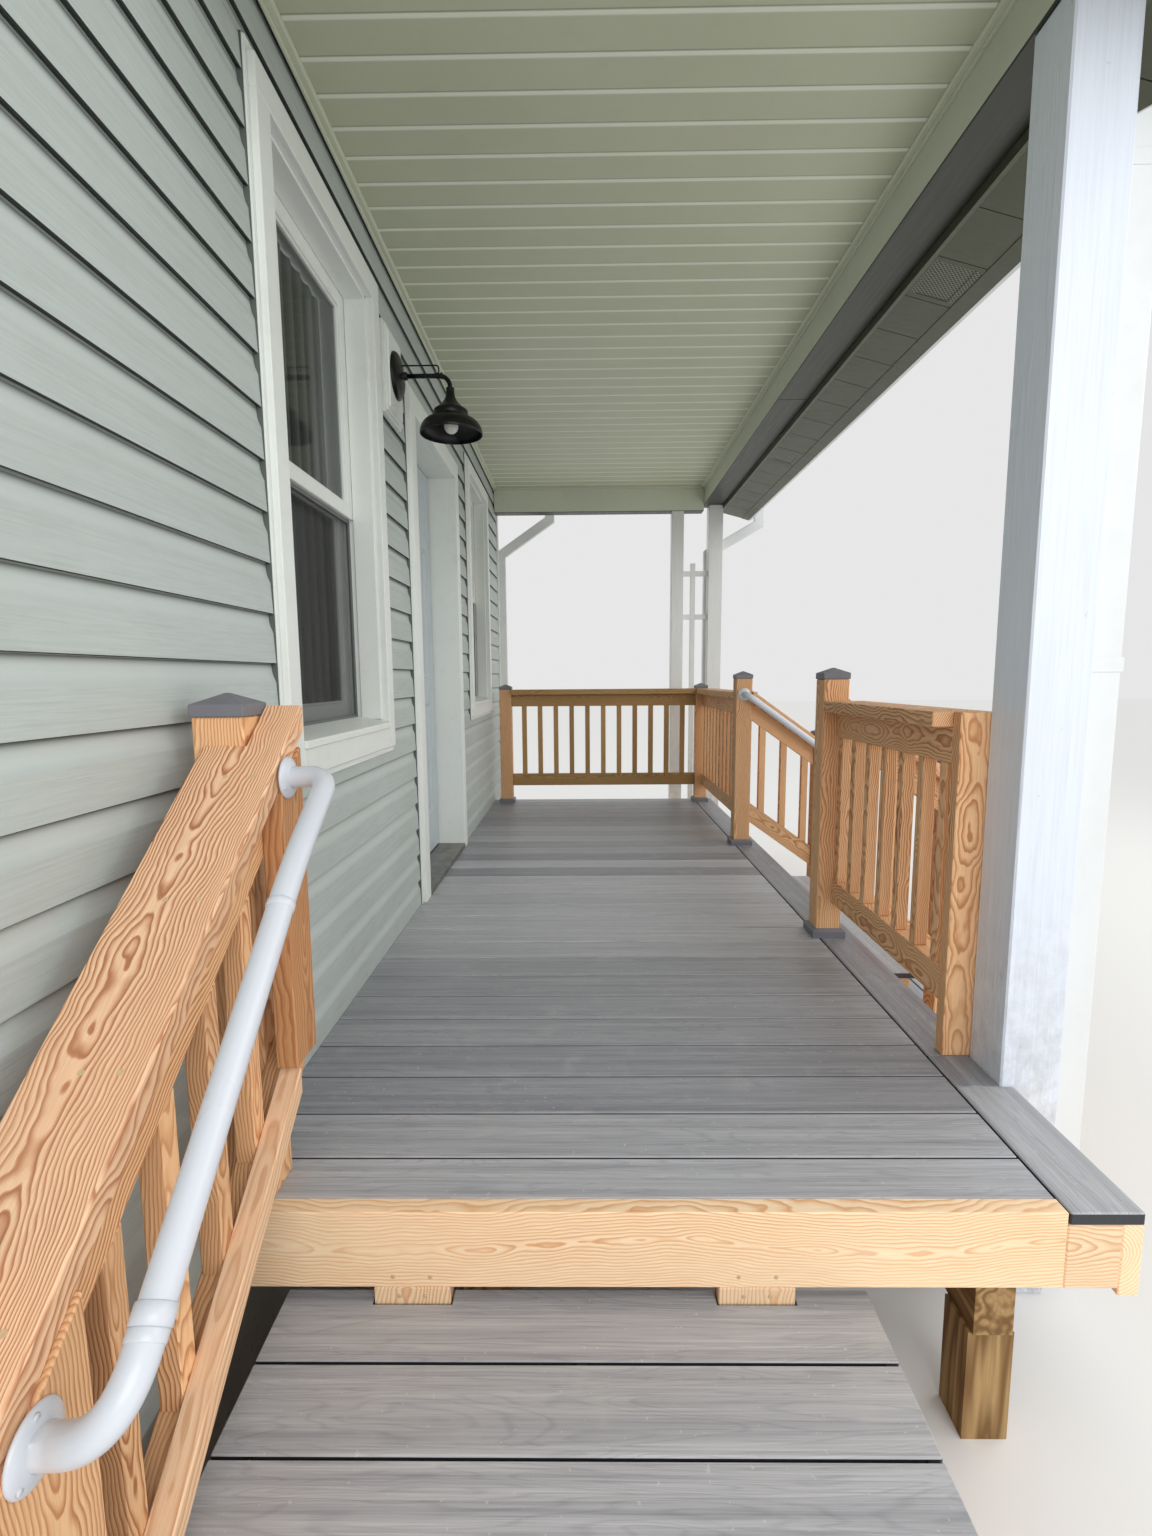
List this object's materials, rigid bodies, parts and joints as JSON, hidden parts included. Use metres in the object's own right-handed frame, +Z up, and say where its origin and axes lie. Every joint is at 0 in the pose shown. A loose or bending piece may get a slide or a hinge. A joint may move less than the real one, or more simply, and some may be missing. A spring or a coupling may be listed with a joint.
{
  "type": "front porch",
  "caption": "Roofed front porch with composite deck, steps at the end and the street side, pine railings, white posts and the sided house wall with its door and windows.",
  "frame": {"origin": "on the ground under the middle of the deck's length, on the centre line of the house wall's foundation", "axes": "+X along the house wall from the near steps to the house corner, -Y towards the street, +Z up"},
  "size_m": [5.998, 2.44, 3.72],
  "materials": {
    "concrete": "rough cast",
    "inner_wall": "matt painted board",
    "siding": "embossed matt vinyl",
    "white_trim": "satin white vinyl",
    "white_paint": "white enamel",
    "white_wood": "white painted wood",
    "glass": "clear",
    "frosted_glass": "frosted white",
    "dark_metal": "dull mill finish",
    "brass": "satin",
    "black_metal": "satin black",
    "pine": "raw treated pine",
    "old_pine": "weathered treated pine",
    "composite": "grey wood-grained composite",
    "dark_plastic": "matt dark grey",
    "shingle": "mineral granules"
  },
  "bodies": {
    "porch": {"foundation": "concrete", "wall_piers": "inner_wall", "wall_infills": "inner_wall", "siding_piers": "siding", "siding_infills": "siding", "corner_trim": "white_trim", "casing_legs": "white_trim", "casing_heads": "white_trim", "window_sills": "white_trim", "sash_stiles": "white_trim", "sash_rails": "white_trim", "window_glass": "glass", "threshold": "dark_metal", "light_block": "white_trim", "wall_light": "black_metal", "lamp_shade": "black_metal", "lamp_bulb": "frosted_glass", "deck_joists": "old_pine", "deck_beams": "old_pine", "deck_piers": "old_pine", "deck_boards": "composite", "deck_border": "composite", "rim_boards": "pine", "street_rim": "pine", "near_stringers": "pine", "near_treads": "composite", "front_stringers": "pine", "front_treads": "composite", "near_column": "white_wood", "far_posts": "white_wood", "trellis": "white_wood", "front_beam": "white_trim", "end_beams": "white_trim", "ceiling": "white_trim", "soffit": "white_trim", "fascia": "white_paint", "rakes": "white_paint", "gutter": "white_paint", "rafters": "old_pine", "roof_deck": "old_pine", "shingles": "shingle", "gable_ends": "siding", "flashing": "white_paint", "downspouts": "white_paint", "far_railing": "old_pine", "street_rail_far": "pine", "street_rail_near": "pine", "newels": "pine", "newel_caps": "dark_plastic", "stair_rails": "pine", "handrails": "white_paint"},
    "door": {"front_door": "white_paint", "door_hinges": "dark_metal", "door_handle": "brass"}
  },
  "joints": [
    {"name": "front_door_hinge", "type": "hinge", "parent": "porch", "child": "door", "pos_m": [0.5965, 0.0755, 1.55], "axis": [0, 0, -1], "range_deg": [0, 90]}
  ]
}
